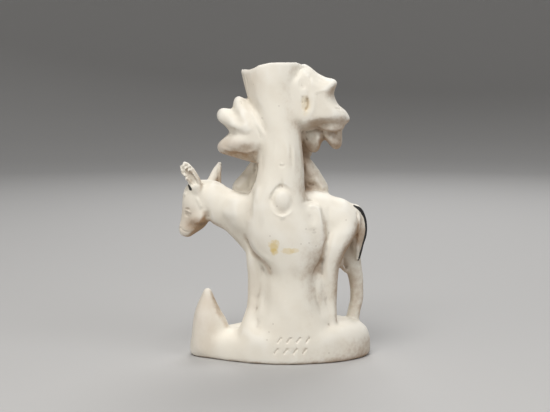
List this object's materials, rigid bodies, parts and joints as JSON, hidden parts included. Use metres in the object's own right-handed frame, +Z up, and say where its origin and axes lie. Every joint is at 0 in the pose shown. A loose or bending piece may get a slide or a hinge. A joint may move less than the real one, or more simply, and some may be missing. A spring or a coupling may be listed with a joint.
{
  "type": "bisque figurine spill vase",
  "caption": "Bisque spill vase in the shape of a tree trunk, with a donkey on a rocky base and a child seated sideways on it under the leaves.",
  "frame": {"origin": "under the middle of the bounding box, on the surface that the figurine stands on", "axes": "+Z up; -Y is the plain back with the trunk, which the picture shows; +Y is the front with the child; the donkey looks to -X"},
  "size_m": [0.1312, 0.0624, 0.2],
  "materials": {
    "bisque": "matt unglazed bisque, faintly soiled in the hollows"
  },
  "bodies": {
    "root": {"bisque_figurine": "bisque"}
  },
  "joints": []
}
